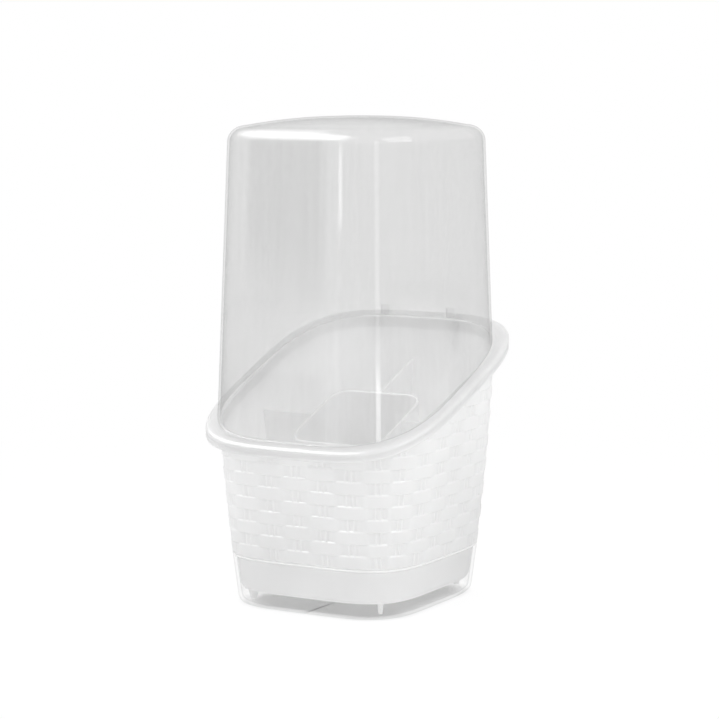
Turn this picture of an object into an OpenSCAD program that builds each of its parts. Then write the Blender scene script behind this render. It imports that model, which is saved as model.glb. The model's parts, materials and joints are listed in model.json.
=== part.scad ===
// Chopstick holder with a flip lid: drip tray, woven basket, lift-out divider and clear hood.
// Origin at the middle of the underside, +Z up, front towards -Y, hinge towards +Y. Millimetres.

/* [Overall] */
// Height of the closed holder
overall_h = 276.5; // [240:0.5:320]
// Width at the floor
base_w = 111; // [95:1:125]
// Depth at the floor
base_d = 121; // [105:1:135]
// Width of the wall at the middle of the rim
mouth_w = 136; // [128:1:150]
// Depth of the wall at the middle of the rim
mouth_d = 145; // [137:1:160]
// How far each wall bows outwards at mid height
wall_bow = 1; // [0:0.25:3]
// Squareness of the plan at the floor, higher is squarer
base_squareness = 4.2; // [3.2:0.1:5]
// Squareness of the plan at the rim
mouth_squareness = 3.6; // [3.2:0.1:5]

/* [Drip tray] */
// Height of the tray's upper edge
tray_h = 27.5; // [20:0.5:40]
// Thickness of the tray's wall
tray_wall = 1.6; // [1.2:0.1:2.4]
// Thickness of the tray's floor
tray_floor = 2; // [1.4:0.1:3]
// Radius of the tray's bottom edge
tray_edge_r = 4; // [2.5:0.5:6]

/* [Basket] */
// Thickness of the basket's wall
basket_wall = 1.8; // [1.2:0.1:2.6]
// Thickness of the basket's floor
basket_floor = 2; // [1.4:0.1:3]
// Height of the underside of the basket's floor
basket_lift = 9; // [7:0.5:13]
// Radius of the basket's bottom edge
basket_edge_r = 3; // [2:0.5:5]
// Thickness of a corner foot
foot_t = 2; // [1.4:0.1:3]
// Length of a corner foot where it joins the floor
foot_root = 8; // [6:0.5:12]
// Length of a corner foot at its tip
foot_tip = 3; // [2:0.5:5]
// Diameter of a drain hole
drain_d = 3.5; // [2.5:0.1:4]
// Distance between neighbouring drain holes
drain_pitch = 14; // [8:1:20]
// Border of the floor that is left without drain holes
drain_border = 22; // [18:1:30]
// Share of the way to the floor's corners at which the feet stand
foot_reach = 0.76; // [0.6:0.01:0.8]

/* [Weave relief] */
// Distance between the middles of two upright columns
weave_column = 17; // [16:0.1:17.4]
// Height of a row
weave_row = 7; // [6:0.1:9]
// Depth of the relief
weave_depth = 0.8; // [0.4:0.05:0.9]
// Share of the depth at which one column passes into the next
weave_edge = 0.7; // [0.5:0.05:0.9]
// Height of the plain band between the step and the lowest row
weave_border = 1.5; // [1:0.1:3]

/* [Rim] */
// Height of the rim's upper face at the middle of the depth
rim_h = 126.5; // [110:0.5:140]
// Slope of the rim, rising towards the rear, in degrees
rim_slope = 21.8; // [10:0.2:26]
// Width of the collar from the opening to its outer edge
rim_w = 8.5; // [7:0.5:12]
// Thickness of the collar
rim_t = 2; // [1.5:0.1:3]
// Height of the down-turned skirt below the upper face
skirt_h = 6; // [4:0.5:10]
// Thickness of the skirt
skirt_t = 1.8; // [1.2:0.1:2.6]
// Radius of the collar's outer edge
rim_edge_r = 1.8; // [1:0.1:1.8]

/* [Divider] */
// Outside width of the cup
cup_w = 60; // [40:1:76]
// Outside depth of the cup
cup_d = 58; // [40:1:80]
// Outside radius of the cup's upright corners
cup_r = 12; // [6:1:18]
// Thickness of the divider's walls
divider_wall = 1.6; // [1.2:0.1:2.4]
// Depth of the divider's upper edge below the rim
divider_drop = 22.5; // [15:0.5:40]
// Clearance between a fin's end and the basket's wall
fin_gap = 2; // [0.8:0.1:4]

/* [Lid] */
// Width of the lid at the middle of the rim
lid_mouth_w = 138.4; // [136:0.2:144]
// Depth of the lid at the middle of the rim
lid_mouth_d = 147; // [145:0.5:153]
// Width of the lid at its top
lid_top_w = 127.5; // [110:0.5:135]
// Depth of the lid at its top
lid_top_d = 136; // [120:0.5:144]
// How far the lid sits behind the middle of the tray
lid_back = 1.5; // [1:0.1:2]
// Thickness of the lid's wall
lid_wall = 1.2; // [1:0.1:2]
// Radius of the lid's upper edge
lid_edge_r = 9; // [4:0.5:12]
// Height of the crowned roof above its rounded edge
lid_crown = 5; // [1:0.5:8]
// Width of the flat middle of the roof
roof_flat = 14; // [8:1:40]
// Squareness of the lid's plan
lid_squareness = 3.2; // [3:0.1:4]

/* [Hinge] */
// Diameter of a hinge stub
stub_d = 4; // [3:0.1:4.4]
// Radial clearance of a stub in its ear
stub_clearance = 0.05; // [0.03:0.01:0.08]
// Wall of plastic around a stub or a bore
boss_wall = 2; // [1.6:0.1:2.4]
// Distance between the inner faces of the two ears
ear_span = 50; // [36:1:60]
// Thickness of an ear
ear_t = 4; // [3:0.2:6]
// Width of a lid arm
arm_w = 5; // [4:0.2:8]
// Thickness of a lid arm where it bends down behind the collar
arm_t = 3; // [2:0.2:5]
// Height of the gusset below the hinge axis
gusset_h = 16; // [10:1:24]
// Depth of the hinge axis below the collar's upper face
hinge_drop = 6; // [5:0.5:8]

/* [Fits] */
// Gap between a nesting piece and its seat
seat_gap = 0.35; // [0.3:0.05:0.5]
// Gap between the basket's lower band and the tray's wall
nest_gap = 0.4; // [0.3:0.05:0.8]
// Gap between the moving hinge parts and the collar
hinge_gap = 0.6; // [0.4:0.05:1]

/* [Hidden] */
// Columns of the weave around the basket, and those on one face
columns = 28;
face_columns = 5;
// Points around an outline, and how many of them make up a column
column_points = 3;
steps = column_points * columns;
// Rings in a rounded edge
edge_rings = 3;
// A cut runs this far past what it cuts
past = 1;
// Depth to which one shape sinks into another that it is part of
bite = 0.6;
milky = [0.95, 0.95, 0.95];
clear = [0.88, 0.91, 0.93, 0.4];

// Height of the sloping rim plane above a point at depth y
function rim_z(y) = rim_h + tan(rim_slope) * y;

// Share of the way up from the floor to the middle of the rim
function rise(z) = z / rim_h;
function bow(z) = wall_bow * 4 * rise(z) * (1 - rise(z));
function half_w(z) = base_w / 2 + (mouth_w - base_w) / 2 * rise(z) + bow(z);
function half_d(z) = base_d / 2 + (mouth_d - base_d) / 2 * rise(z) + bow(z);
function squareness(z) = base_squareness + (mouth_squareness - base_squareness) * min(rise(z), 1);

// Share of the way up from the middle of the rim to the top of the lid
function lid_rise(z) = (z - rim_h) / (overall_h - rim_h);
function lid_half_w(z) = (lid_mouth_w + (lid_top_w - lid_mouth_w) * lid_rise(z)) / 2;
function lid_half_d(z) = (lid_mouth_d + (lid_top_d - lid_mouth_d) * lid_rise(z)) / 2;

// Unit direction i of a rounded square of squareness n
function spread(v, n) = sign(v) * pow(abs(v), 2 / n);
function around(i) = 360 * (i + 0.5) / steps;

// Level ring of the body, inset from the outer face of the wall
function level_ring(z, inset) =
    [for (i = [0:steps - 1])
        [(half_w(z) - inset) * spread(cos(around(i)), squareness(z)),
         (half_d(z) - inset) * spread(sin(around(i)), squareness(z)),
         z]];

// Angle that places point i of the basket's outline on its column of the weave, at a height z, worked out
// in the first quarter of the outline and mirrored into the others
quarter_columns = columns / 4;
function place(i) = (i % (steps / 4) + 0.5) / column_points;
function face_angle(columns_away, half, n) = asin(pow(weave_column * columns_away / half, n / 2));
function corner_angle(p, z) =
    let (face = face_columns / 2, n = squareness(z),
         first = face_angle(face, half_d(z), n), last = 90 - face_angle(face, half_w(z), n))
    p <= face ? face_angle(p, half_d(z), n)
    : p >= quarter_columns - face ? 90 - face_angle(quarter_columns - p, half_w(z), n)
    : first + (last - first) * (p - face) / (quarter_columns - 2 * face);
function turn(i, z) =
    let (quadrant = floor(4 * i / steps))
    quadrant % 2 == 0 ? 90 * quadrant + corner_angle(place(i), z)
    : 90 * (quadrant + 1) - corner_angle(quarter_columns - place(i), z);

// Point i of the basket at a height z, inset from the outer face of the wall
function basket_point(i, z, inset, lift = 0) =
    [(half_w(z) - inset) * spread(cos(turn(i, z)), squareness(z)),
     (half_d(z) - inset) * spread(sin(turn(i, z)), squareness(z)),
     z + lift];
function basket_ring(z, inset) = [for (i = [0:steps - 1]) basket_point(i, z, inset)];

// Height at which the rim plane cuts the basket at point i, found by three corrections
function rim_cut(i, inset, z = rim_h, tries = 3) =
    let (cut = rim_z(basket_point(i, z, inset)[1]))
    tries == 0 ? cut : rim_cut(i, inset, cut, tries - 1);
function rim_ring(lift, inset) =
    [for (i = [0:steps - 1]) basket_point(i, rim_cut(i, inset), inset, lift)];

// Rings of the lid, level or in the rim plane
function lid_ring(z, inset) =
    [for (i = [0:steps - 1])
        [(lid_half_w(z) - inset) * spread(cos(around(i)), lid_squareness),
         lid_back + (lid_half_d(z) - inset) * spread(sin(around(i)), lid_squareness),
         z]];
function lid_mouth_point(i, inset, lift) =
    let (s = spread(sin(around(i)), lid_squareness),
         middle = lid_back + lid_mouth_d / 2 * s,
         y = lid_back + (lid_half_d(rim_z(middle)) - inset) * s)
    [(lid_half_w(rim_z(y)) - inset) * spread(cos(around(i)), lid_squareness), y, rim_z(y) + lift];
function lid_mouth_ring(lift, inset) = [for (i = [0:steps - 1]) lid_mouth_point(i, inset, lift)];

// Angles of the rings in a quarter round
function quarter(k) = 90 * k / edge_rings;

// Closed solid through a list of rings, capped at both ends
module loft(rings) {
    count = len(rings);
    points = [for (ring = rings) each ring];
    sides = [for (r = [0:count - 2], i = [0:steps - 1])
        let (a = r * steps + i, b = r * steps + (i + 1) % steps)
        each [[a, a + steps, b], [b, a + steps, b + steps]]];
    first_cap = [for (i = [0:steps - 1]) i];
    last_cap = [for (i = [steps - 1:-1:0]) (count - 1) * steps + i];
    polyhedron(points, concat(sides, [first_cap, last_cap]));
}

tray_inner_r = tray_edge_r - tray_wall;

module drip_tray() {
    color(clear)
        loft(concat(
            [for (k = [0:edge_rings])
                level_ring(tray_edge_r * (1 - cos(quarter(k))), tray_edge_r * (1 - sin(quarter(k))))],
            [level_ring(tray_h, 0), level_ring(tray_h, tray_wall)],
            [for (k = [edge_rings:-1:0])
                level_ring(tray_floor + tray_inner_r * (1 - cos(quarter(k))),
                           tray_wall + tray_inner_r * (1 - sin(quarter(k))))]
        ));
}

// The basket's lower band is inset by this much to drop into the tray
nest = tray_wall + nest_gap;
step_z = tray_h + seat_gap;
floor_z = basket_lift + basket_floor;
// Upright distance that the band takes to step out to the full wall inside
inner_step_z = step_z + basket_wall;
// Level rings between the step and the rim on the wall's inner face
inner_rings = 3;
collar_out = rim_w - basket_wall;

module basket_shell() {
    loft(concat(
        [for (k = [0:edge_rings])
            basket_ring(basket_lift + basket_edge_r * (1 - cos(quarter(k))),
                        nest + basket_edge_r * (1 - sin(quarter(k))))],
        [basket_ring(step_z, nest), basket_ring(step_z, 0), basket_ring(weave_z - bunch / 2, 0)],
        [for (k = [0:2 * rows - 1]) weave_ring(k)],
        [rim_ring(-rim_t, 0),
         rim_ring(-rim_t, skirt_t - collar_out),
         rim_ring(-skirt_h, skirt_t - collar_out),
         rim_ring(-skirt_h, -collar_out)],
        [for (k = [0:edge_rings])
            rim_ring(-rim_edge_r * (1 - sin(quarter(k))),
                     -collar_out + rim_edge_r * (1 - cos(quarter(k))))],
        [rim_ring(0, basket_wall)],
        [for (k = [inner_rings:-1:0]) inner_ring(k / (inner_rings + 1))],
        [basket_ring(step_z, nest + basket_wall), basket_ring(floor_z, nest + basket_wall)]
    ));
}

// Ring of the wall's inner face, at a share of the way up from the step to the rim
function inner_ring(share) =
    [for (i = [0:steps - 1])
        basket_point(i, inner_step_z + (rim_cut(i, basket_wall) - inner_step_z) * share, basket_wall)];

// The woven wall: each row has a lower and an upper ring, bunched below the collar where it cuts them off
bunch = 0.2;
weave_z = step_z + weave_border;
rows = ceil((rim_z(mouth_d / 2) - weave_z) / weave_row);
function row_ring_z(k) =
    weave_z + weave_row * floor(k / 2) + (k % 2 == 0 ? bunch / 2 : weave_row - bunch / 2);

// Share of the relief's depth at point i of a row: none on a pad, all of it in a gap, some where they meet
function relief(i, row) =
    let (column = floor((i + 1) / column_points))
    i % column_points == 1 ? weave_edge : (column + row) % 2 == 1 ? 0 : 1;
function weave_point(i, k) =
    let (level = row_ring_z(k), top = rim_cut(i, 0) - rim_t - bunch * (2 * rows - k), z = min(level, top))
    basket_point(i, z, level > top ? 0 : weave_depth * relief(i, floor(k / 2)));
function weave_ring(k) = [for (i = [0:steps - 1]) weave_point(i, k)];

// Hinge axis, behind the skirt and below the collar's upper face
boss_r = stub_d / 2 + boss_wall;
rim_back_y = basket_point(steps / 4, rim_cut(steps / 4, -collar_out), -collar_out)[1];
hinge_y = rim_back_y + hinge_gap + boss_r;
hinge_z = rim_z(rim_back_y) - hinge_drop;

module along_x(x0, x1) {
    translate([x0, 0, 0]) rotate([90, 0, 90]) linear_extrude(x1 - x0) children();
}

module ear(side) {
    skirt_y = rim_back_y - skirt_t;
    wall_y = half_d(hinge_z - gusset_h) - basket_wall;
    x0 = side > 0 ? ear_span / 2 : -ear_span / 2 - ear_t;
    difference() {
        along_x(x0, x0 + ear_t) {
            translate([hinge_y, hinge_z]) circle(boss_r, $fn = 48);
            polygon([[hinge_y, hinge_z + boss_r], [skirt_y, rim_z(skirt_y) - rim_t],
                     [wall_y, rim_z(wall_y) - rim_t / 2], [wall_y, hinge_z - gusset_h],
                     [hinge_y, hinge_z - boss_r]]);
        }
        translate([x0 - past, hinge_y, hinge_z]) rotate([0, 90, 0])
            cylinder(d = stub_d + 2 * stub_clearance, h = ear_t + 2 * past, $fn = 48);
    }
}

// Distance from the middle to a corner foot, and the directions of the corners
foot_corner = [half_w(basket_lift) - nest, half_d(basket_lift) - nest] * foot_reach;
foot_h = basket_lift - tray_floor - seat_gap;

module foot(sx, sy) {
    translate([sx * foot_corner[0], sy * foot_corner[1], tray_floor + seat_gap])
        rotate([0, 0, atan2(sy * foot_corner[1], sx * foot_corner[0])])
        rotate([90, 0, 0])
        translate([0, 0, -foot_t / 2])
        linear_extrude(foot_t)
        polygon([[-foot_tip / 2, 0], [foot_tip / 2, 0],
                 [foot_root / 2, foot_h + bite], [-foot_root / 2, foot_h + bite]]);
}

module drain_holes() {
    reach_x = floor((base_w / 2 - drain_border) / drain_pitch);
    reach_y = floor((base_d / 2 - drain_border) / drain_pitch);
    for (i = [-reach_x:reach_x], j = [-reach_y:reach_y])
        translate([i * drain_pitch, j * drain_pitch, basket_lift - past])
            cylinder(d = drain_d, h = basket_floor + 2 * past, $fn = 16);
}

module basket() {
    color(milky)
        difference() {
            union() {
                basket_shell();
                for (side = [-1, 1]) ear(side);
                for (sx = [-1, 1], sy = [-1, 1]) foot(sx, sy);
            }
            drain_holes();
        }
}

divider_z = floor_z + seat_gap;
function divider_top(y) = rim_z(y) - divider_drop;
function fin_end_w(z) = half_w(z) - basket_wall - fin_gap;
function fin_end_d(z) = half_d(z) - basket_wall - fin_gap - nest;

// Plan of the cup, inset from its outer face
module cup_plan(inset) {
    straight_w = cup_w / 2 - cup_r;
    straight_d = cup_d / 2 - cup_r;
    square([cup_w - 2 * inset, 2 * straight_d], center = true);
    square([2 * straight_w, cup_d - 2 * inset], center = true);
    for (sx = [-1, 1], sy = [-1, 1])
        translate([sx * straight_w, sy * straight_d]) circle(cup_r - inset, $fn = 48);
}

module side_fin(side) {
    top = divider_top(0);
    root = side * (cup_w / 2 - divider_wall / 2);
    translate([0, divider_wall / 2, 0]) rotate([90, 0, 0]) linear_extrude(divider_wall)
        polygon([[root, divider_z], [side * (fin_end_w(divider_z) - nest), divider_z],
                 [side * fin_end_w(top), top], [root, top]]);
}

module rear_fin() {
    root = cup_d / 2 - divider_wall / 2;
    end = fin_end_d(divider_top(mouth_d / 2));
    along_x(-divider_wall / 2, divider_wall / 2)
        polygon([[root, divider_z], [fin_end_d(divider_z), divider_z],
                 [end, divider_top(end)], [root, divider_top(root)]]);
}

module divider() {
    color("white")
        union() {
            difference() {
                translate([0, 0, divider_z]) linear_extrude(rim_h) difference() {
                    cup_plan(0);
                    cup_plan(divider_wall);
                }
                translate([0, 0, divider_top(0)]) rotate([rim_slope, 0, 0])
                    translate([-cup_w, -2 * cup_d, 0]) cube([2 * cup_w, 4 * cup_d, rim_h]);
            }
            for (side = [-1, 1]) side_fin(side);
            rear_fin();
        }
}

// Ring of the roof, at a share of the way from its middle to the rounded edge
crown_reach = (min(lid_top_w, lid_top_d) - roof_flat) / 2 - lid_edge_r;
function crown_ring(share, thickness) =
    lid_ring(overall_h - lid_crown * pow(share, 2) - thickness, lid_edge_r + crown_reach * (1 - share));

module lid_shell() {
    inner_r = lid_edge_r - lid_wall;
    top = overall_h - lid_crown - lid_edge_r;
    loft(concat(
        [for (k = [0:edge_rings - 1]) crown_ring(k / edge_rings, lid_wall)],
        [for (k = [edge_rings:-1:0])
            lid_ring(top + inner_r * sin(quarter(k)), lid_wall + inner_r * (1 - cos(quarter(k))))],
        [lid_mouth_ring(seat_gap, lid_wall), lid_mouth_ring(seat_gap, 0)],
        [for (k = [0:edge_rings])
            lid_ring(top + lid_edge_r * sin(quarter(k)), lid_edge_r * (1 - cos(quarter(k))))],
        [for (k = [edge_rings - 1:-1:0]) crown_ring(k / edge_rings, 0)]
    ));
}

// Outer face of the lid's rear wall at a point x from the middle and at height z
function lid_rear(x, z) =
    lid_back + lid_half_d(z) * pow(1 - pow(x / lid_half_w(z), lid_squareness), 1 / lid_squareness);

module lid_arm(side) {
    x1 = side * (ear_span / 2 - seat_gap);
    x0 = x1 - side * arm_w;
    wall_y = lid_rear(ear_span / 2, rim_z(mouth_d / 2)) - lid_wall / 2;
    bend_y = hinge_y - boss_r;
    bend_z = rim_z(bend_y) + hinge_gap;
    along_x(min(x0, x1), max(x0, x1)) {
        translate([hinge_y, hinge_z]) circle(boss_r, $fn = 48);
        polygon([[wall_y, rim_z(wall_y) + hinge_gap], [bend_y, bend_z], [bend_y, hinge_z],
                 [hinge_y + boss_r, hinge_z], [hinge_y + boss_r, bend_z], [bend_y, bend_z + arm_t],
                 [wall_y, rim_z(wall_y) + hinge_gap + 2 * arm_t]]);
    }
    translate([x1 - side * past, hinge_y, hinge_z]) rotate([0, side * 90, 0])
        cylinder(d = stub_d, h = past + seat_gap + ear_t, $fn = 48);
}

module lid() {
    color(clear)
        union() {
            lid_shell();
            for (side = [-1, 1]) lid_arm(side);
        }
}

drip_tray();
basket();
divider();
lid();
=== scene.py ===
import json
import math

import bmesh
import bpy
import numpy as np
from mathutils import Matrix, Vector


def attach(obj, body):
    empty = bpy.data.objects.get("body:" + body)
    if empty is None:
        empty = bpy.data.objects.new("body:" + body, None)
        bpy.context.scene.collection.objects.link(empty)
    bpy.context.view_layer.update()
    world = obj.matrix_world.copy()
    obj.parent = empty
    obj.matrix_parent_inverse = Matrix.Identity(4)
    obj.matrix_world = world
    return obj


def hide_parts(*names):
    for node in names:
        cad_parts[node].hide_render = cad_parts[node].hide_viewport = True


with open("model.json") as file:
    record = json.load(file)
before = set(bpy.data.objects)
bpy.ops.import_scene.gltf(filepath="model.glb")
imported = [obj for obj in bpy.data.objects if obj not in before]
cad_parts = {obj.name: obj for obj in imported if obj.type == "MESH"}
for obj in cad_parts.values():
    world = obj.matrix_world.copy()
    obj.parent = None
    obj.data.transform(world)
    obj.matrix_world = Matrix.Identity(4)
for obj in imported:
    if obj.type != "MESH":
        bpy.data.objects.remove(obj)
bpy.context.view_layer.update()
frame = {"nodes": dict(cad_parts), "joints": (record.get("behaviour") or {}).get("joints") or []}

# All sizes below are in millimetres and follow the values of the part's source
MM = 0.001
OVERALL_H = 276.5
BASE_W, BASE_D = 111, 121
MOUTH_W, MOUTH_D = 136, 145
WALL_BOW = 1
BASE_SQUARENESS, MOUTH_SQUARENESS = 4.2, 3.6
TRAY_H, TRAY_WALL, TRAY_FLOOR, TRAY_EDGE_R = 27.5, 1.6, 2, 4
BASKET_WALL, BASKET_FLOOR, BASKET_LIFT, BASKET_EDGE_R = 1.8, 2, 9, 3
FOOT_T, FOOT_ROOT, FOOT_TIP, FOOT_REACH = 2, 8, 3, 0.76
DRAIN_D, DRAIN_PITCH, DRAIN_BORDER = 3.5, 14, 22
RIM_H, RIM_SLOPE = 126.5, math.tan(math.radians(21.8))
RIM_W, RIM_T, SKIRT_H, SKIRT_T, RIM_EDGE_R = 8.5, 2, 6, 1.8, 1.8
CUP_W, CUP_D, CUP_R = 60, 58, 12
DIVIDER_WALL, DIVIDER_DROP, FIN_GAP = 1.6, 22.5, 2
LID_MOUTH_W, LID_MOUTH_D, LID_TOP_W, LID_TOP_D = 138.4, 147, 127.5, 136
LID_BACK, LID_WALL, LID_EDGE_R, LID_SQUARENESS = 1.5, 1.2, 9, 3.2
LID_CROWN, CROWN_REACH = 5, 48
STUB_D, STUB_CLEARANCE, BOSS_WALL = 4, 0.05, 2
EAR_SPAN, EAR_T, ARM_W, ARM_T, GUSSET_H = 50, 4, 5, 3, 16
SEAT_GAP, NEST_GAP, HINGE_GAP = 0.35, 0.4, 0.6
NEST = TRAY_WALL + NEST_GAP
STEP_Z = TRAY_H + SEAT_GAP
FLOOR_Z = BASKET_LIFT + BASKET_FLOOR
COLLAR_OUT = RIM_W - BASKET_WALL
SKIRT_INLAY, SEAT_SUNK = 0.35, 0.5
DIVIDER_Z = FLOOR_Z + SEAT_GAP

# Share of the milky plastic's paleness kept on the collar: painted shade that darkens the collar and its
# skirt
COLLAR_PAINTED_SHADE = 0.93

# Share of the gloss layer on the milky plastic
SATIN_SHARE = 0.07

# Gloss of the clear plastic seen straight on, how fast it grows and the tint deepens towards a grazing view,
# and how much the lid's arms fade
FACING_GLOSS, GRAZING_POWER, ARM_FAINTNESS = 0.045, 5, 0.6

# Strength of the fine relief on both plastics
BUMP_STRENGTH = 0.12

# Painted reflections, which glossy rays alone see and no lamp makes: brightness of a dark patch at the front
# left, a softbox above it and the ceiling, beside the white surroundings
PAINTED_DARK_REFLECTION, PAINTED_SOFTBOX_REFLECTION, PAINTED_CEILING_REFLECTION = -0.95, 2.8, 0.5

# Strength of the light from all round
SOFT_LIGHT = 1.17

# Width and height of the render in pixels
IMAGE_SIZE = 719

# Radius of the corners of the footprint, in metres, for the shadow on the floor and the painted shadow under
# the footprint
FOOTPRINT_R = 0.03

# Weave: columns around the basket and on one face, the relief of the pads, and the pairs of thin stakes
# that show in the gaps between them
COLUMNS, FACE_COLUMNS = 28, 5
COLUMN_W, ROW_H = 17, 7
WEAVE_DEPTH = 0.95
BORDER_H, WEAVE_START = 1.1, 1.95
PAD_HALF_L, PAD_HALF_H, PAD_ROUND = 10.2, 3.85, 3.2
PAD_TOP_R, PAD_UNDER_R = 1.5, 0.4
GAP_RISE = 0.25
STAKE_AT, STAKE_HALF, STAKE_RISE = 1.8, 0.75, 0.4


# Outlines

def spread(value, n):
    """One coordinate of a rounded square of squareness n, from a sine or a cosine."""
    return np.sign(value) * np.abs(value) ** (2 / n)


def rim_z(y):
    return RIM_H + RIM_SLOPE * y


def bow(z):
    """How far the walls bulge at height z."""
    rise = z / RIM_H
    return WALL_BOW * 4 * rise * (1 - rise)


def half_w(z):
    return BASE_W / 2 + (MOUTH_W - BASE_W) / 2 * z / RIM_H + bow(z)


def half_d(z):
    return BASE_D / 2 + (MOUTH_D - BASE_D) / 2 * z / RIM_H + bow(z)


def squareness(z):
    return BASE_SQUARENESS + (MOUTH_SQUARENESS - BASE_SQUARENESS) * np.minimum(z / RIM_H, 1)


def face_angle(away, half, n):
    """Angle at which the outline is away from the middle of a face."""
    return np.arcsin((away / half) ** (n / 2))


def body_angle(u, z):
    """Angle of column position u, counted from the middle of the right face, at height z."""
    quarter = COLUMNS / 4
    quadrant = np.floor(u / quarter)
    p = u - quadrant * quarter
    p = np.where(quadrant % 2 == 0, p, quarter - p)
    face = FACE_COLUMNS / 2
    n = squareness(z)
    near = face_angle(COLUMN_W * np.minimum(p, face), half_d(z), n)
    far = math.pi / 2 - face_angle(COLUMN_W * np.minimum(quarter - p, face), half_w(z), n)
    first = face_angle(COLUMN_W * face, half_d(z), n)
    last = math.pi / 2 - face_angle(COLUMN_W * face, half_w(z), n)
    middle = first + (last - first) * (p - face) / (quarter - 2 * face)
    angle = np.where(p <= face, near, np.where(p >= quarter - face, far, middle))
    return np.where(quadrant % 2 == 0, quadrant * math.pi / 2 + angle, (quadrant + 1) * math.pi / 2 - angle)


def body_points(u, z, inset, lift=0.0):
    """Points of the basket or tray at column positions u, heights z, inset from the outer face."""
    z = z + np.zeros_like(u)
    angle = body_angle(u, z)
    n = squareness(z)
    return np.stack([(half_w(z) - inset) * spread(np.cos(angle), n),
                     (half_d(z) - inset) * spread(np.sin(angle), n), z + lift], axis=-1)


def rim_cut(u, inset):
    """Heights at which the sloping rim plane cuts the wall."""
    z = np.full_like(u, RIM_H)
    for _ in range(6):
        z = rim_z(body_points(u, z, inset)[:, 1])
    return z


def rim_points(u, lift, inset):
    """Points along the sloping rim plane, raised by lift."""
    return body_points(u, rim_cut(u, inset), inset, lift)


def lid_half(z):
    """Half width and half depth of the lid at height z."""
    rise = (z - RIM_H) / (OVERALL_H - RIM_H)
    wide = LID_MOUTH_W + (LID_TOP_W - LID_MOUTH_W) * rise
    deep = LID_MOUTH_D + (LID_TOP_D - LID_MOUTH_D) * rise
    return wide / 2, deep / 2


def lid_points(angle, z, inset):
    """Points of the lid at angles and heights z, inset from the outer face."""
    wide, deep = lid_half(z)
    return np.stack([(wide - inset) * spread(np.cos(angle), LID_SQUARENESS),
                     LID_BACK + (deep - inset) * spread(np.sin(angle), LID_SQUARENESS),
                     z + np.zeros_like(angle)], axis=-1)


def lid_mouth_points(angle, lift, inset):
    """Points of the lid's sloping lower edge, raised by lift."""
    z = np.full_like(angle, RIM_H)
    for _ in range(6):
        z = rim_z(lid_points(angle, z, inset)[:, 1])
    points = lid_points(angle, z, inset)
    points[:, 2] += lift
    return points


def even_angles(count, n):
    """Angles of a rounded square of squareness n that lie evenly along its outline."""
    fine = np.linspace(0, 2 * math.pi, 20001)
    xy = np.stack([spread(np.cos(fine), n), spread(np.sin(fine), n)], axis=-1)
    length = np.concatenate([[0], np.cumsum(np.linalg.norm(np.diff(xy, axis=0), axis=1))])
    return np.interp(np.arange(count) / count * length[-1], length, fine)


# Meshes

def mesh_object(name, meshes):
    """One object from several lists of points and faces, in millimetres."""
    points, faces = [], []
    for some_points, some_faces in meshes:
        start = len(points)
        points.extend(tuple(p) for p in some_points)
        faces.extend(tuple(start + i for i in f) for f in some_faces)
    mesh = bpy.data.meshes.new(name)
    mesh.from_pydata([(x * MM, y * MM, z * MM) for x, y, z in points], [], faces)
    work = bmesh.new()
    work.from_mesh(mesh)
    bmesh.ops.remove_doubles(work, verts=work.verts, dist=1e-6)
    bmesh.ops.dissolve_degenerate(work, edges=work.edges, dist=1e-6)
    bmesh.ops.recalc_face_normals(work, faces=work.faces)
    work.to_mesh(mesh)
    work.free()
    piece = bpy.data.objects.new(name, mesh)
    bpy.context.scene.collection.objects.link(piece)
    return piece


def shade(piece, angle=35):
    """Smooth shading that keeps edges sharper than the angle, in degrees."""
    piece.data.shade_smooth()
    piece.data.set_sharp_from_angle(angle=math.radians(angle))


def loft(rings, cap_first=True, cap_last=True):
    """Points and faces of a surface through rings of equally many points. Caps are fans."""
    count = len(rings[0])
    points = np.concatenate(rings)
    faces = []
    for r in range(len(rings) - 1):
        a, b = r * count, (r + 1) * count
        faces += [(a + i, a + (i + 1) % count, b + (i + 1) % count, b + i) for i in range(count)]
    if cap_first:
        points = np.concatenate([points, [rings[0].mean(axis=0)]])
        faces += [(len(points) - 1, (i + 1) % count, i) for i in range(count)]
    if cap_last:
        last = (len(rings) - 1) * count
        points = np.concatenate([points, [rings[-1].mean(axis=0)]])
        faces += [(len(points) - 1, last + i, last + (i + 1) % count) for i in range(count)]
    return points, faces


def closed_loft(rings):
    """Points and faces of a surface through rings, the last of which is joined to the first."""
    points, faces = loft(rings, False, False)
    count = len(rings[0])
    last = (len(rings) - 1) * count
    faces += [(last + i, last + (i + 1) % count, (i + 1) % count, i) for i in range(count)]
    return points, faces


def plate(outline, thickness, holes=(), bevel=0.3, matrix=Matrix.Identity(4)):
    """Points and faces of a flat plate with rounded edges: an outline in XY, centred on Z = 0, then moved."""
    curve = bpy.data.curves.new("plate", "CURVE")
    curve.dimensions = "2D"
    curve.fill_mode = "BOTH"
    curve.extrude = thickness / 2 - bevel
    curve.bevel_depth = bevel
    curve.bevel_resolution = 2
    curve.offset = -bevel
    for loop in [outline, *holes]:
        spline = curve.splines.new("POLY")
        spline.points.add(len(loop) - 1)
        for point, (x, y) in zip(spline.points, loop):
            point.co = (x, y, 0, 1)
        spline.use_cyclic_u = True
    holder = bpy.data.objects.new("plate", curve)
    bpy.context.scene.collection.objects.link(holder)
    bpy.context.view_layer.update()
    mesh = bpy.data.meshes.new_from_object(holder.evaluated_get(bpy.context.evaluated_depsgraph_get()))
    points = [tuple(matrix @ v.co) for v in mesh.vertices]
    faces = [tuple(p.vertices) for p in mesh.polygons]
    bpy.data.objects.remove(holder)
    bpy.data.curves.remove(curve)
    bpy.data.meshes.remove(mesh)
    return points, faces


def arc(cx, cy, r, start, end, count):
    """Points of an arc about (cx, cy), from one angle to another in degrees."""
    return [(cx + r * math.cos(math.radians(a)), cy + r * math.sin(math.radians(a)))
            for a in np.linspace(start, end, count)]


def hole(cx, cy, r, count=32):
    """A whole circle, run the other way round than an outline."""
    return arc(cx, cy, r, 360, 360 / count, count)


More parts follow.
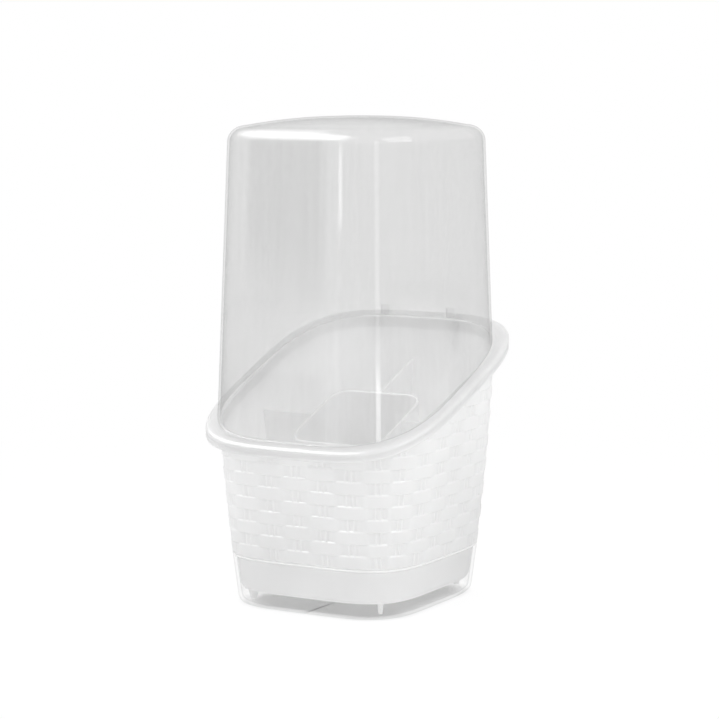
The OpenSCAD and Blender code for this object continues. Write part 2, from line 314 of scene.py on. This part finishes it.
def upright(x):
    """Places a plate upright in the YZ plane, its outline given as (y, z), with its middle at x."""
    return Matrix.Translation((x, 0, 0)) @ Matrix(((0, 0, 1, 0), (1, 0, 0, 0), (0, 1, 0, 0), (0, 0, 0, 1)))


def crosswise(y):
    """Places a plate upright in the XZ plane, its outline given as (x, z), with its middle at y."""
    return Matrix.Translation((0, y, 0)) @ Matrix(((1, 0, 0, 0), (0, 0, -1, 0), (0, 1, 0, 0), (0, 0, 0, 1)))


def quarter(steps):
    """Angles of a quarter turn in even steps."""
    return np.linspace(0, math.pi / 2, steps + 1)


# Drip tray

def build_tray():
    u = np.arange(0, COLUMNS, 1 / 16)
    inner_r = TRAY_EDGE_R - TRAY_WALL
    lip = 0.5
    rings = [body_points(u, TRAY_EDGE_R * (1 - math.cos(k)), TRAY_EDGE_R * (1 - math.sin(k)))
             for k in quarter(8)]
    rings += [body_points(u, z, 0) for z in np.linspace(TRAY_EDGE_R, TRAY_H - lip, 6)[1:]]
    rings += [body_points(u, TRAY_H - lip * (1 - math.sin(k)), lip * (1 - math.cos(k))) for k in quarter(4)]
    rings += [body_points(u, TRAY_H - lip * (1 - math.cos(k)), TRAY_WALL - lip * (1 - math.sin(k)))
              for k in quarter(4)]
    rings += [body_points(u, z, TRAY_WALL)
              for z in np.linspace(TRAY_H - lip, TRAY_FLOOR + inner_r, 6)[1:-1]]
    rings += [body_points(u, TRAY_FLOOR + inner_r * (1 - math.cos(k)),
                          TRAY_WALL + inner_r * (1 - math.sin(k))) for k in quarter(6)[::-1]]
    piece = mesh_object("drip_tray_clear", [loft(rings)])
    shade(piece, 50)
    return piece


# Basket

def weave_steps():
    """Column positions: fine where a pad or stake has its edge."""
    half = [0, 1.0, 1.3, 1.8, 2.3, 2.6, 4.0, 6.4, 7.5]
    local = sorted({-x for x in half} | set(half) | {8.5})
    return np.array([c + x / COLUMN_W for c in range(COLUMNS) for x in local]) % COLUMNS


def row_steps(top):
    """Heights of the rings: fine where one row passes into the next."""
    local = [0.0, 0.2, 0.45, 0.9, 2.4, 4.4, 5.3, 5.9, 6.35, 6.75]
    start = STEP_Z + WEAVE_START
    rows = math.ceil((top - start) / ROW_H)
    return np.array([start + ROW_H * r + z for r in range(rows) for z in local])


def relief(u, z):
    """Height of the weave, from 0 in the gaps to 1 on the pads, at column positions u and heights z."""
    column = np.round(u)
    across = (u - column) * COLUMN_W
    row = np.floor((z - STEP_Z - WEAVE_START) / ROW_H)
    tall = z - STEP_Z - WEAVE_START - (row + 0.5) * ROW_H
    stake = np.clip(1 - ((np.abs(across) - STAKE_AT) / STAKE_HALF) ** 2, 0, 1) ** 0.5 * STAKE_RISE
    height = GAP_RISE + stake
    for shift in (-1, 0, 1):
        over = (column + row + shift) % 2 == 1
        along = np.where(over, np.abs(across), COLUMN_W - np.abs(across))
        up = tall - shift * ROW_H
        edge_r = np.where(up > 0, PAD_TOP_R, PAD_UNDER_R)
        crown = 1 - 0.2 * (along / PAD_HALF_L) ** 2
        end = np.clip((along - PAD_HALF_L + PAD_ROUND) / PAD_ROUND, 0, 1)
        edge = np.clip((np.abs(up) - PAD_HALF_H + edge_r) / edge_r, 0, 1)
        pad = crown * np.sqrt(np.clip(1 - end ** 2 - edge ** 2, 0, 1))
        if shift == -1:
            pad = np.where(row >= 1, pad, 0)
        height = np.maximum(height, pad)
    return height


def build_basket():
    u = weave_steps()
    top = rim_cut(u, 0)
    under = top - RIM_T
    floor_w, floor_d = half_w(BASKET_LIFT) - NEST, half_d(BASKET_LIFT) - NEST
    rings = [body_points(u, BASKET_LIFT + BASKET_EDGE_R * (1 - math.cos(k)),
                         NEST + BASKET_EDGE_R * (1 - math.sin(k))) for k in quarter(6)]

    # The step on the tray's edge and the smooth border above it, with softened edges
    soft = 0.3
    border_top = STEP_Z + BORDER_H
    rings += [body_points(u, STEP_Z, NEST), body_points(u, STEP_Z, soft), body_points(u, STEP_Z + soft, 0)]
    rings += [body_points(u, border_top - soft, 0), body_points(u, border_top, soft),
              body_points(u, border_top + 0.1, WEAVE_DEPTH)]
    for z in row_steps(under.max()):
        shown = np.minimum(z, under)
        rings.append(body_points(u, shown, WEAVE_DEPTH * (1 - relief(u, np.full_like(u, z)))))

    # The collar, from the bottom of its skirt up and in over the seat of the lid: lift and inset
    rings += [rim_points(u, lift, -COLLAR_OUT + SKIRT_T) for lift in (-RIM_T, -SKIRT_H + soft)]
    section = [(-SKIRT_H, SKIRT_T - 0.4), (-SKIRT_H, 0.45), (-SKIRT_H + 0.2, 0.1), (-SKIRT_H + 0.5, 0),
               (-SKIRT_H + 1.0, 0), (-SKIRT_H + 1.3, SKIRT_INLAY), (-RIM_EDGE_R - 0.7, SKIRT_INLAY),
               (-RIM_EDGE_R - 0.3, 0)]
    section += [(-RIM_EDGE_R * (1 - math.sin(k)), RIM_EDGE_R * (1 - math.cos(k))) for k in quarter(8)]
    section += [(0, 2.6), (-0.08, 3.0), (-SEAT_SUNK + 0.1, 4.1), (-SEAT_SUNK, 4.5), (-SEAT_SUNK, 6.6),
                (-SEAT_SUNK + 0.05, 6.9), (-0.06, 7.2)]
    rings += [rim_points(u, lift, -COLLAR_OUT + inset) for lift, inset in section]

    # The rounded inner edge and the inside, down to the floor
    inner_r = 0.6
    rings += [rim_points(u, -inner_r * (1 - math.cos(k)), BASKET_WALL - inner_r * (1 - math.sin(k)))
              for k in quarter(5)]
    inner_top = rim_cut(u, BASKET_WALL) - inner_r
    inner_step = STEP_Z + BASKET_WALL
    rings += [body_points(u, inner_step + (inner_top - inner_step) * k, BASKET_WALL)
              for k in (0.8, 0.6, 0.4, 0.2)]
    rings += [body_points(u, inner_step, BASKET_WALL), body_points(u, STEP_Z, NEST + BASKET_WALL),
              body_points(u, FLOOR_Z, NEST + BASKET_WALL)]
    wall = closed_loft(rings)

    # The floor plate, sunk into the wall, with its drain holes
    floor_sunk = 1
    edge = body_points(np.arange(0, COLUMNS, 0.25), FLOOR_Z - 1, NEST + floor_sunk)
    reach_x = int((BASE_W / 2 - DRAIN_BORDER) // DRAIN_PITCH)
    reach_y = int((BASE_D / 2 - DRAIN_BORDER) // DRAIN_PITCH)
    holes = [hole(i * DRAIN_PITCH, j * DRAIN_PITCH, DRAIN_D / 2, 20)
             for i in range(-reach_x, reach_x + 1) for j in range(-reach_y, reach_y + 1)]
    floor = plate([(x, y) for x, y, _ in edge], BASKET_FLOOR, holes, 0.25,
                  Matrix.Translation((0, 0, BASKET_LIFT + BASKET_FLOOR / 2)))

    # The feet, which stand on the tray's floor and point to its corners
    foot_h = BASKET_LIFT - TRAY_FLOOR - SEAT_GAP
    feet = []
    for sx in (-1, 1):
        for sy in (-1, 1):
            x, y = sx * floor_w * FOOT_REACH, sy * floor_d * FOOT_REACH
            place = Matrix.Translation((x, y, TRAY_FLOOR + SEAT_GAP))
            turn = Matrix.Rotation(math.atan2(y, x), 4, "Z")
            outline = [(-FOOT_TIP / 2, 0), (FOOT_TIP / 2, 0),
                       (FOOT_ROOT / 2, foot_h + 1), (-FOOT_ROOT / 2, foot_h + 1)]
            feet.append(plate(outline, FOOT_T, (), 0.35, place @ turn @ crosswise(0)))

    # The ears behind the collar, with their gussets and bores
    ears = []
    skirt_y = rim_back_y - SKIRT_T
    wall_y = half_d(hinge_z - GUSSET_H) - BASKET_WALL
    boss = arc(hinge_y, hinge_z, boss_r, -25, 100, 20)
    outline = [*boss, (skirt_y, rim_z(skirt_y) - RIM_T), (wall_y, rim_z(wall_y) - RIM_T / 2),
               (wall_y, hinge_z - GUSSET_H), (hinge_y, hinge_z - boss_r)]
    bore = hole(hinge_y, hinge_z, STUB_D / 2 + STUB_CLEARANCE)
    for side in (-1, 1):
        ears.append(plate(outline, EAR_T, [bore], 0.3, upright(side * (EAR_SPAN + EAR_T) / 2)))
    piece = mesh_object("basket_woven", [wall, floor, *feet, *ears])
    shade(piece, 60)
    return piece


# Divider

def rounded_rectangle(w, d, r, count=10):
    return np.array([p for cx, cy, start in ((1, 1, 0), (-1, 1, 90), (-1, -1, 180), (1, -1, 270))
                     for p in arc(cx * (w / 2 - r), cy * (d / 2 - r), r, start, start + 90, count)])


def build_divider():
    def divider_top(y):
        return rim_z(y) - DIVIDER_DROP

    def ring(inset, lift=None, z=None):
        xy = rounded_rectangle(CUP_W - 2 * inset, CUP_D - 2 * inset, CUP_R - inset)
        height = np.full(len(xy), z) if lift is None else divider_top(xy[:, 1]) + lift
        return np.column_stack([xy, height])

    r = DIVIDER_WALL / 2 - 0.05
    rings = [ring(0, z=DIVIDER_Z), ring(0, z=DIVIDER_Z + 30), ring(0, z=DIVIDER_Z + 60)]
    rings += [ring(r * (1 - math.cos(k)), lift=-r * (1 - math.sin(k))) for k in quarter(4)]
    rings += [ring(DIVIDER_WALL - r * (1 - math.sin(k)), lift=-r * (1 - math.cos(k))) for k in quarter(4)]
    rings += [ring(DIVIDER_WALL, z=DIVIDER_Z + 60), ring(DIVIDER_WALL, z=DIVIDER_Z + 30),
              ring(DIVIDER_WALL, z=DIVIDER_Z)]
    meshes = [closed_loft(rings)]

    def fin_end_w(z):
        return half_w(z) - BASKET_WALL - FIN_GAP

    def fin_end_d(z):
        return half_d(z) - BASKET_WALL - FIN_GAP - NEST

    side_top = divider_top(0)
    root = CUP_W / 2 - DIVIDER_WALL / 2
    outline = [(root, DIVIDER_Z), (fin_end_w(DIVIDER_Z) - NEST, DIVIDER_Z), (fin_end_w(side_top), side_top),
               (root, side_top)]
    for side in (-1, 1):
        corners = [(side * x, z) for x, z in (outline if side > 0 else outline[::-1])]
        meshes.append(plate(corners, DIVIDER_WALL, (), 0.35, crosswise(0)))
    root = CUP_D / 2 - DIVIDER_WALL / 2
    end = fin_end_d(divider_top(MOUTH_D / 2))
    outline = [(root, DIVIDER_Z), (fin_end_d(DIVIDER_Z), DIVIDER_Z), (end, divider_top(end)),
               (root, divider_top(root))]
    meshes.append(plate(outline, DIVIDER_WALL, (), 0.35, upright(0)))
    piece = mesh_object("divider_insert", meshes)
    shade(piece, 60)
    return piece


# Lid

def lid_rear(x, z):
    """Depth of the lid's rear face at x and height z."""
    wide, deep = lid_half(z)
    return LID_BACK + deep * (1 - (x / wide) ** LID_SQUARENESS) ** (1 / LID_SQUARENESS)


def build_lid():
    angle = even_angles(480, LID_SQUARENESS)
    inner_r = LID_EDGE_R - LID_WALL
    top = OVERALL_H - LID_CROWN - LID_EDGE_R
    lip = 0.35
    mouth_out = lid_mouth_points(angle, SEAT_GAP, 0)
    mouth_in = lid_mouth_points(angle, SEAT_GAP, LID_WALL)

    def roof(thickness):
        return [lid_points(angle, OVERALL_H - LID_CROWN * k ** 2 - thickness,
                           LID_EDGE_R + CROWN_REACH * (1 - k)) for k in np.linspace(1, 0, 10)[1:]]

    outer = [lid_points(angle, top + LID_EDGE_R * math.sin(k), LID_EDGE_R * (1 - math.cos(k)))
             for k in quarter(12)]
    inner = [lid_points(angle, top + inner_r * math.sin(k), LID_WALL + inner_r * (1 - math.cos(k)))
             for k in quarter(10)]
    rings = roof(LID_WALL)[::-1] + inner[::-1]
    low_in = mouth_in.copy()
    low_in[:, 2] += lip
    for k in (0.25, 0.5, 0.75):
        rings.append(inner[0] + (low_in - inner[0]) * k)
    rings.append(low_in)
    across = (mouth_out - mouth_in) * (lip / LID_WALL)
    rings += [mouth_in + across, mouth_out - across]
    low_out = mouth_out.copy()
    low_out[:, 2] += lip
    rings.append(low_out)
    for k in (0.25, 0.5, 0.75):
        rings.append(low_out + (outer[0] - low_out) * k)
    rings += outer
    rings += roof(0)
    meshes = [loft(rings)]

    # The arms behind the hood, each with a stub that turns in its ear
    wall_y = lid_rear(EAR_SPAN / 2, rim_z(MOUTH_D / 2)) - LID_WALL / 2
    bend_y = hinge_y - boss_r
    bend_z = rim_z(bend_y) + HINGE_GAP
    boss = arc(hinge_y, hinge_z, boss_r, -180, 0, 24)
    outline = [(wall_y, rim_z(wall_y) + HINGE_GAP), (bend_y, bend_z), *boss, (hinge_y + boss_r, bend_z),
               (bend_y, bend_z + ARM_T), (wall_y, rim_z(wall_y) + HINGE_GAP + 2 * ARM_T)]
    for side in (-1, 1):
        x1 = side * (EAR_SPAN / 2 - SEAT_GAP)
        meshes.append(plate(outline, ARM_W, (), 0.3, upright(x1 - side * ARM_W / 2)))
        stub_l = EAR_T + SEAT_GAP + 1
        meshes.append(plate(hole(hinge_y, hinge_z, STUB_D / 2)[::-1], stub_l, (), 0.3,
                            upright(x1 + side * (stub_l / 2 - 1))))
    piece = mesh_object("lid_hood", meshes)
    shade(piece, 50)
    return piece


# Node helpers

def add(tree, kind, **values):
    """A node of a kind, with its properties and inputs set by name, where _ stands for a space."""
    made = tree.nodes.new(kind)
    for key, value in values.items():
        if hasattr(made, key):
            setattr(made, key, value)
        else:
            made.inputs[key.replace("_", " ")].default_value = value
    return made


def join(tree, source, target):
    tree.links.new(source, target)


def feed(tree, value, target):
    """Link an input to another node's output, or set it to a number or colour."""
    if isinstance(value, bpy.types.NodeSocket):
        join(tree, value, target)
    else:
        target.default_value = value


def compute(tree, operation, *values, kind="ShaderNodeMath"):
    """Result of a Math or Vector Math node. Each value is a number, a vector or another node's output."""
    made = add(tree, kind, operation=operation)
    for value, target in zip(values, made.inputs):
        feed(tree, value, target)
    return made.outputs[0]


def mapped(tree, source, low, high, to_low=0, to_high=1, kind="LINEAR"):
    """A value mapped from low to high onto to_low to to_high, and held beyond its ends."""
    made = add(tree, "ShaderNodeMapRange", interpolation_type=kind,
               From_Min=low, From_Max=high, To_Min=to_low, To_Max=to_high)
    join(tree, source, made.inputs["Value"])
    return made.outputs["Result"]


def smooth_step(tree, source, start, end):
    return mapped(tree, source, start, end, kind="SMOOTHSTEP")


def mixed(tree, share, first, second):
    """The first shader, and the second one by share, a number or an output."""
    made = add(tree, "ShaderNodeMixShader")
    for value, target in zip((share, first, second), made.inputs):
        feed(tree, value, target)
    return made.outputs[0]


def grey(value):
    return (value, value, value, 1)


def blended(tree, share, first, second):
    """The first colour, and by share the second one."""
    made = add(tree, "ShaderNodeMix", data_type="RGBA")
    for value, name in ((first, "A"), (second, "B"), (share, "Factor")):
        feed(tree, value, made.inputs[name])
    return made.outputs["Result"]


def grey_ramp(tree, source, stops):
    """Greys along a value, from stops of position and grey value."""
    made = add(tree, "ShaderNodeValToRGB")
    elements = made.color_ramp.elements
    for element, (position, value) in zip(elements, (stops[0], stops[-1])):
        element.position = position
        element.color = grey(value)
    for position, value in stops[1:-1]:
        elements.new(position).color = grey(value)
    join(tree, source, made.inputs["Fac"])
    return made.outputs["Color"]


def position(tree, output="Object"):
    """X, Y and Z outputs of a coordinate."""
    place = add(tree, "ShaderNodeTexCoord")
    axes = add(tree, "ShaderNodeSeparateXYZ")
    join(tree, place.outputs[output], axes.inputs[0])
    return axes.outputs["X"], axes.outputs["Y"], axes.outputs["Z"]


def noise(tree, stretch, scale=1, detail=2):
    """Noise over the object, in metres, stretched along its axes."""
    place = add(tree, "ShaderNodeTexCoord")
    mapping = add(tree, "ShaderNodeMapping", Scale=stretch)
    join(tree, place.outputs["Object"], mapping.inputs["Vector"])
    made = add(tree, "ShaderNodeTexNoise", Scale=scale, Detail=detail)
    join(tree, mapping.outputs["Vector"], made.inputs["Vector"])
    return made.outputs["Fac"]


def bumped(tree, height, distance):
    """Normal of a faint relief, whose depth is distance in metres."""
    made = add(tree, "ShaderNodeBump", Strength=BUMP_STRENGTH, Distance=distance)
    join(tree, height, made.inputs["Height"])
    return made.outputs["Normal"]


def gloss(tree, roughness, normal):
    made = add(tree, "ShaderNodeBsdfAnisotropic", Color=grey(1), Roughness=roughness)
    join(tree, normal, made.inputs["Normal"])
    return made.outputs[0]


def seen_rays(tree):
    """1 for rays of the camera, of reflections and of glass, else 0."""
    path = add(tree, "ShaderNodeLightPath").outputs
    reflected = compute(tree, "MAXIMUM", path["Is Camera Ray"], path["Is Glossy Ray"])
    return compute(tree, "MAXIMUM", reflected, path["Is Transmission Ray"])


# Materials

def new_material(name):
    material = bpy.data.materials.new(name)
    material.use_nodes = True
    material.node_tree.nodes.clear()
    return material, material.node_tree


def show(tree, shader, kind="ShaderNodeOutputMaterial"):
    """Make a shader the one that the material or the world shows."""
    join(tree, shader, add(tree, kind).inputs["Surface"])


def painted_collar_shade(tree):
    """Painted shade: the collar's share of paleness on the collar and its skirt, and 1 below it."""
    _, depth, height = position(tree)
    above_plane = compute(tree, "MULTIPLY_ADD", depth, -RIM_SLOPE, height)
    low = (RIM_H - SKIRT_H - 1) * MM
    return mapped(tree, above_plane, low, low + MM, 1, COLLAR_PAINTED_SHADE)


def milky_plastic(name, paleness, glow):
    """Milky polypropylene: pale, satin, with light passing through its thin walls."""
    material, tree = new_material(name)
    cloud = noise(tree, (1, 1, 0.6), scale=28, detail=3)
    tint = grey_ramp(tree, cloud, ((0.3, paleness - 0.02), (0.7, paleness + 0.01)))
    # Painted highlight and shade: the colour rises to 1.02 on sharp ridges and edges and falls to 0.96 in
    # creases and hollows
    sharpness = add(tree, "ShaderNodeNewGeometry").outputs["Pointiness"]
    edge = mapped(tree, sharpness, 0.44, 0.56, 0.96, 1.02)
    colour = add(tree, "ShaderNodeVectorMath", operation="SCALE")
    join(tree, tint, colour.inputs[0])
    # The colour is scaled by the painted edge light and by the painted shade on the collar
    join(tree, compute(tree, "MULTIPLY", edge, painted_collar_shade(tree)), colour.inputs["Scale"])
    normal = bumped(tree, noise(tree, (1, 1, 1), scale=900), 0.0002)
    body = add(tree, "ShaderNodeBsdfPrincipled", Roughness=0.22, IOR=1.5)
    join(tree, colour.outputs[0], body.inputs["Base Color"])
    join(tree, normal, body.inputs["Normal"])
    through = add(tree, "ShaderNodeBsdfTranslucent")
    join(tree, colour.outputs[0], through.inputs["Color"])
    plastic = mixed(tree, glow, body.outputs[0], through.outputs[0])
    show(tree, mixed(tree, SATIN_SHARE, plastic, gloss(tree, 0.2, normal)))
    return material


def clear_plastic(name, tint, edge_tint, haze_share, streaks, grazing_gloss, bare_y):
    """Clear polystyrene: see-through with a grey tint that deepens where the wall is seen along its length.

    Parts behind the depth bare_y, the lid's arms, are clear without a tint."""
    material, tree = new_material(name)
    facing = add(tree, "ShaderNodeLayerWeight", Blend=0.5).outputs["Facing"]
    grazing = compute(tree, "POWER", facing, GRAZING_POWER)
    _, depth, _ = position(tree)
    behind = smooth_step(tree, depth, bare_y * MM, (bare_y + 1) * MM)
    clear = add(tree, "ShaderNodeBsdfTransparent")
    tinted = blended(tree, grazing, grey(tint), grey(edge_tint))
    join(tree, blended(tree, behind, tinted, grey(0.995)), clear.inputs["Color"])
    flow_lines = noise(tree, (260, 260, 3), detail=3)
    haze = add(tree, "ShaderNodeBsdfPrincipled", Base_Color=grey(0.9), Roughness=0.3)
    hazy = mixed(tree, mapped(tree, flow_lines, 0.35, 0.75, haze_share, haze_share + streaks),
                 clear.outputs[0], haze.outputs[0])
    normal = bumped(tree, noise(tree, (45, 45, 8)), 0.0004)
    fresnel = mapped(tree, grazing, 0, 1, FACING_GLOSS, grazing_gloss)
    plastic = mixed(tree, fresnel, hazy, gloss(tree, 0.06, normal))
    faint = compute(tree, "MULTIPLY", behind, ARM_FAINTNESS)
    show(tree, mixed(tree, faint, plastic, clear.outputs[0]))
    return material


def footprint_distance(tree):
    """Distance in metres from the flat middle of the footprint, which has the corner radius FOOTPRINT_R."""
    size = (BASE_W * MM / 2 - FOOTPRINT_R, BASE_D * MM / 2 - FOOTPRINT_R, 10)
    value = add(tree, "ShaderNodeTexCoord").outputs["Object"]
    for operation, other in (("ABSOLUTE", ()), ("SUBTRACT", (size,)), ("MAXIMUM", ((0, 0, 0),))):
        value = compute(tree, operation, value, *other, kind="ShaderNodeVectorMath")
    length = add(tree, "ShaderNodeVectorMath", operation="LENGTH")
    join(tree, value, length.inputs[0])
    return length.outputs["Value"]


def white_stage(name):
    """Pale floor: seen by the camera and in reflections as white, with the object's shadow near it and a
    painted shadow, dark paint, under the footprint.
    """
    material, tree = new_material(name)
    far = footprint_distance(tree)
    whiteness = grey_ramp(tree, far, ((FOOTPRINT_R - 0.010, 0), (FOOTPRINT_R + 0.001, 0.9),
                                      (0.08, 0.96), (0.6, 1)))
    # Painted shadow: the floor's paint is dark, 0.1, under the footprint and pale around it
    painted_shadow_paint = grey_ramp(tree, far, ((FOOTPRINT_R - 0.014, 0.1), (FOOTPRINT_R, 0.95)))
    paint = add(tree, "ShaderNodeBsdfDiffuse")
    join(tree, painted_shadow_paint, paint.inputs["Color"])
    white = add(tree, "ShaderNodeEmission", Strength=1)
    share = compute(tree, "MULTIPLY", seen_rays(tree), whiteness)
    show(tree, mixed(tree, share, paint.outputs[0], white.outputs[0]))
    return material


def white_and_painted_reflections(tree):
    """White all round. In reflections alone, painted reflections add a dark patch at the front left, a large
    softbox above it and a brighter ceiling, which no lamp makes.
    """
    x, y, height = position(tree, "Generated")
    azimuth = compute(tree, "ARCTAN2", x, compute(tree, "MULTIPLY", y, -1))
    glossy = add(tree, "ShaderNodeLightPath").outputs["Is Glossy Ray"]

    def near_azimuth(middle, full, none):
        apart = compute(tree, "ABSOLUTE", compute(tree, "SUBTRACT", azimuth, math.radians(middle)))
        return smooth_step(tree, apart, math.radians(none), math.radians(full))

    def heights(start, end):
        return smooth_step(tree, height, start, end)

    def change(before, amount, *shares):
        """The brightness before, and in reflections the amount more where all shares are 1."""
        share = glossy
        for other in shares:
            share = compute(tree, "MULTIPLY", share, other)
        return compute(tree, "MULTIPLY_ADD", share, amount, before)

    # Painted reflections: a dark patch front left, a bright softbox above it and a brighter ceiling, in
    # glossy rays only
    value = change(1, PAINTED_DARK_REFLECTION, near_azimuth(-41, 13, 23), heights(-0.045, 0), heights(0.45, 0.3))
    value = change(value, PAINTED_SOFTBOX_REFLECTION, near_azimuth(-65, 42, 60), heights(0.3, 0.6), heights(0.92, 0.84))
    return change(value, PAINTED_CEILING_REFLECTION, heights(0.05, 0.3))


# The stage, the lights and the camera

def direction(azimuth, elevation):
    """Unit vector towards an azimuth, 0 in front and 90 on the right, and an elevation, in degrees."""
    a, e = math.radians(azimuth), math.radians(elevation)
    return Vector((math.sin(a) * math.cos(e), -math.cos(a) * math.cos(e), math.sin(e)))


def area_light(name, azimuth, elevation, distance, size, power, aim=(0, 0, 0.13)):
    """A rectangular lamp that faces a point from a direction, with sizes in metres and power in watts."""
    data = bpy.data.lights.new(name, "AREA")
    data.shape = "RECTANGLE"
    data.size, data.size_y = size
    data.energy = power
    lamp = bpy.data.objects.new(name, data)
    lamp.location = Vector(aim) + direction(azimuth, elevation) * distance
    lamp.rotation_euler = direction(azimuth, elevation).to_track_quat("Z", "Y").to_euler()
    bpy.context.scene.collection.objects.link(lamp)


def build_camera():
    """The photograph's viewpoint: degrees, then millimetres, with the focal length in pixels."""
    azimuth, elevation = 29.918, 6.762
    distance, lens_px, across, height = 1382.5, 2410.7, 1.835, 137.40
    back = direction(azimuth, elevation)
    right = direction(azimuth + 90, 0)
    up = back.cross(right)
    data = bpy.data.cameras.new("camera")
    data.sensor_width = 36
    data.lens = lens_px / IMAGE_SIZE * data.sensor_width
    data.clip_end = 50
    camera = bpy.data.objects.new("camera", data)
    eye = (right * across + Vector((0, 0, height)) + back * distance) * MM
    rotation = Matrix((right, up, back)).transposed()
    camera.matrix_world = Matrix.Translation(eye) @ rotation.to_4x4()
    bpy.context.scene.collection.objects.link(camera)
    bpy.context.scene.camera = camera


def build_studio():
    world = bpy.data.worlds.new("studio")
    world.use_nodes = True
    bpy.context.scene.world = world
    tree = world.node_tree
    tree.nodes.clear()
    soft = add(tree, "ShaderNodeBackground", Color=grey(1), Strength=SOFT_LIGHT)
    white = add(tree, "ShaderNodeBackground", Color=grey(1))
    join(tree, white_and_painted_reflections(tree), white.inputs["Strength"])
    show(tree, mixed(tree, seen_rays(tree), soft.outputs[0], white.outputs[0]), "ShaderNodeOutputWorld")

    size = 2500
    corners = [(-size, -size, 0), (size, -size, 0), (size, size, 0), (-size, size, 0)]
    floor = mesh_object("floor", [(corners, [(0, 1, 2, 3)])])
    floor.data.materials.append(white_stage("floor_white"))

    area_light("key_light", azimuth=85, elevation=38, distance=1.6, size=(1.3, 0.9), power=4.5)
    area_light("fill_light", azimuth=-50, elevation=52, distance=1.3, size=(1.8, 0.6), power=3.5)
    area_light("strip_light", azimuth=40, elevation=8, distance=1.4, size=(0.17, 1.1), power=0.45)
    area_light("low_strip_light", azimuth=40, elevation=-4, distance=1.35, size=(0.17, 0.1), power=0.2)


# Column position of the middle of the rear face, and the depth of the collar there
REAR_COLUMN = COLUMNS / 4
rim_back_y = rim_points(np.array([REAR_COLUMN]), 0, -COLLAR_OUT)[0][1]

# The lid's hinge
hinge = next(joint for joint in frame["joints"] if joint["name"] == "lid_hinge")
hinge_y = hinge["pos_m"][1] / MM
hinge_z = hinge["pos_m"][2] / MM
boss_r = STUB_D / 2 + BOSS_WALL

BODIES = {"drip_tray": "tray_body", "basket": "basket_body", "divider": "divider_body", "lid": "lid_body"}
clear_lid = clear_plastic("clear_lid", tint=0.912, edge_tint=0.76, haze_share=0.02, streaks=0.03,
                          grazing_gloss=0.2, bare_y=lid_rear(EAR_SPAN / 2, hinge_z) + 0.2)
clear_tray = clear_plastic("clear_tray", tint=0.995, edge_tint=0.84, haze_share=0.012, streaks=0.012,
                           grazing_gloss=0.12, bare_y=MOUTH_D)
milky_basket = milky_plastic("milky_basket", paleness=0.98, glow=0.8)
milky_divider = milky_plastic("milky_divider", paleness=0.975, glow=0.75)

for node, build, material, slot in (
        ("drip_tray", build_tray, clear_tray, "clear_tray"),
        ("basket", build_basket, milky_basket, "milky_basket"),
        ("divider", build_divider, milky_divider, "milky_divider"),
        ("lid", build_lid, clear_lid, "clear_lid")):
    piece = build()
    piece.data.materials.append(material)
    frame["nodes"][node].data.materials.clear()
    frame["nodes"][node].data.materials.append(material)
    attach(piece, BODIES[node])
    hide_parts(node)

build_studio()
build_camera()
bpy.context.scene.view_settings.view_transform = "Standard"

# Light passes many thin clear and milky walls one behind the other
bpy.context.scene.cycles.max_bounces = 24
bpy.context.scene.cycles.diffuse_bounces = 12
bpy.context.scene.cycles.transparent_max_bounces = 32
